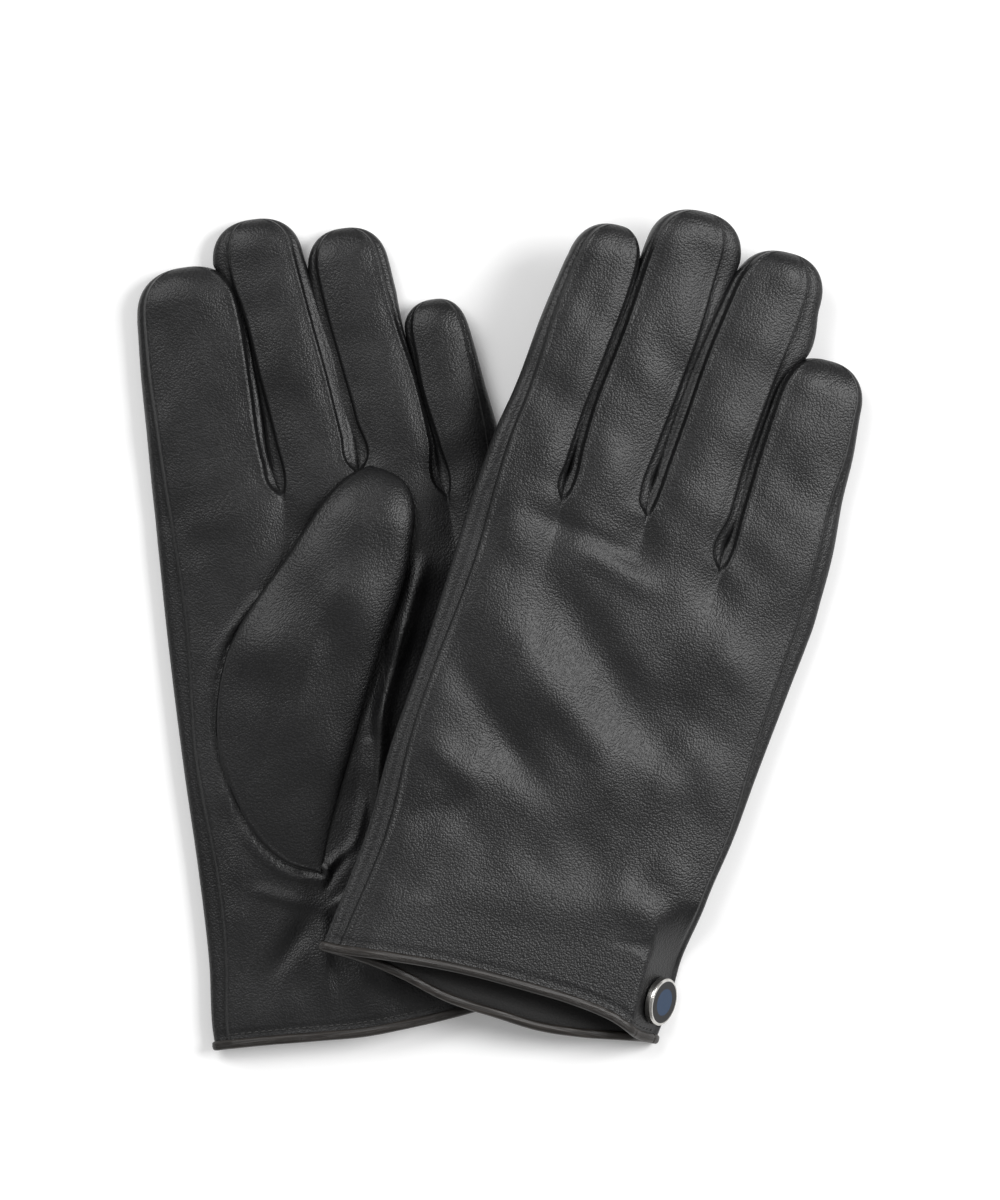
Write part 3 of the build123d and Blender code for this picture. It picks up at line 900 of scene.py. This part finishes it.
def make_glove(side, materials):
    """One glove: leather, linings, binding, stitches and thumb."""
    nets = glove_nets(side)
    for inset in (0.0, LEATHER):
        for part, piece in sewn_pieces(side, nets, materials, inset).items():
            join_body(side, part, piece)
    bind_hem(side, nets, materials)
    stitch_row(side, nets, materials)
    lay_thumb(side, materials)
    lay_underlap(side, materials)
    for node, finish in (("wrist_elastic", "elastic"), ("snap_stud", "nickel"),
                         ("snap_cap", "nickel"), ("snap_socket", "nickel")):
        solid = bpy.data.objects[f"{side}_{node}"]
        solid.data.materials.clear()
        solid.data.materials.append(materials[finish])
    solid = bpy.data.objects[f"{side}_snap_enamel"]
    low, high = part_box(f"{side}_snap_enamel")
    centre = tuple((Vector(low) + Vector(high)) / 2)
    solid.data.materials.clear()
    solid.data.materials.append(enamel(side, centre))


def lay_underlap(side, materials):
    """The vent's under layer, which carries the stud below the flap."""
    across = np.linspace(*UNDERLAP_ACROSS, 14)
    up = np.linspace(*UNDERLAP_UP, 20)
    x, y = np.meshgrid(across, up)
    z = THICKNESS - (x - FLAP_ACROSS) - UNDERLAP_DEPTH - 0.15 * ((y - STUD_UP) / 8) ** 2
    top = np.stack((x, y, z), -1)
    under = top - (UNDERLAP_THICK, 0, UNDERLAP_THICK)
    ring = np.concatenate((top, under[:, ::-1], top[:, :1]), 1)
    closed = np.concatenate((ring[:1] * 0 + ring[0].mean(0), ring, ring[-1:] * 0 + ring[-1].mean(0)))
    piece = net_piece(f"{side}_vent_underlap_sewn", side, closed, materials["facing_leather"])
    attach(piece, f"{side}_hand")
    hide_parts(f"{side}_vent_underlap")


ROOM_LIGHT = 0.34
TABLE_REACH = 4.0  # metres
TABLE_GLOW = 0.12  # lifts the lit card to full white where it is seen


def seen_rays(tree):
    """One for a ray that shows the surroundings: straight to the camera, mirrored or passed through."""
    path = add(tree, "ShaderNodeLightPath")
    kinds = ("Camera", "Glossy", "Transmission")
    straight, mirrored, passed = (path.outputs[f"Is {kind} Ray"] for kind in kinds)
    either = add(tree, "ShaderNodeMath", {0: straight, 1: mirrored}, operation="MAXIMUM").outputs[0]
    return add(tree, "ShaderNodeMath", {0: either, 1: passed}, operation="MAXIMUM").outputs[0]


def lay_floor():
    """A plain flat white table: it is the whole background, and takes the soft shadow."""
    mesh = bpy.data.meshes.new("table")
    corners = [(x * TABLE_REACH, y * TABLE_REACH, 0) for x, y in ((-1, -1), (1, -1), (1, 1), (-1, 1))]
    mesh.from_pydata(corners, [], [(0, 1, 2, 3)])
    table = bpy.data.objects.new("table", mesh)
    bpy.context.scene.collection.objects.link(table)
    material, tree, shader = new_material("white_card", 0.9, Specular_IOR_Level=0.1)
    shader.inputs["Base Color"].default_value = (0.94, 0.94, 0.94, 1)
    shader.inputs["Emission Color"].default_value = (1, 1, 1, 1)
    glow = add(tree, "ShaderNodeMath", {0: seen_rays(tree)}, operation="MULTIPLY")
    glow.inputs[1].default_value = TABLE_GLOW
    tree.links.new(glow.outputs[0], shader.inputs["Emission Strength"])
    mesh.materials.append(material)


def soft_lamp(name, place, size, power):
    """A square lamp that faces the gloves."""
    light = bpy.data.lights.new(name, "AREA")
    light.size, light.energy = size, power
    lamp = bpy.data.objects.new(name, light)
    lamp.location = place
    lamp.rotation_euler = (-Vector(place)).to_track_quat("-Z", "Y").to_euler()
    bpy.context.scene.collection.objects.link(lamp)


def light_studio():
    """A broad soft key from the right, a weaker fill from the upper left, and a pale room."""
    soft_lamp("key", (1.15, 0.3, 1.25), size=0.75, power=22.0)
    soft_lamp("fill", (-0.8, 0.9, 1.4), size=1.0, power=16.0)
    world = bpy.data.worlds.new("room")
    world.use_nodes = True
    tree = world.node_tree
    tree.nodes.clear()
    room = add(tree, "ShaderNodeBackground", Strength=ROOM_LIGHT)
    room.inputs["Color"].default_value = (1, 1, 1, 1)
    add(tree, "ShaderNodeOutputWorld", {"Surface": room.outputs[0]})
    bpy.context.scene.world = world


VIEW_CENTRE = (-1.7, 9.55)
VIEW_HEIGHT = 369.8
CAMERA_UP = 4000.0
SENSOR = (30.0, 36.0)


def place_camera():
    """Straight down from far above, so that nothing leans."""
    camera = bpy.data.cameras.new("overhead")
    camera.sensor_fit = "VERTICAL"
    camera.sensor_width, camera.sensor_height = SENSOR
    camera.lens = SENSOR[1] * CAMERA_UP / VIEW_HEIGHT
    camera.clip_end = 20.0
    view = bpy.data.objects.new("overhead", camera)
    view.location = (VIEW_CENTRE[0] * MM, VIEW_CENTRE[1] * MM, CAMERA_UP * MM)
    bpy.context.scene.collection.objects.link(view)
    bpy.context.scene.camera = view


bpy.context.scene.view_settings.view_transform = "Standard"
all_finishes = finishes()
for glove_side in SIDES:
    make_glove(glove_side, all_finishes)
lay_floor()
light_studio()
place_camera()
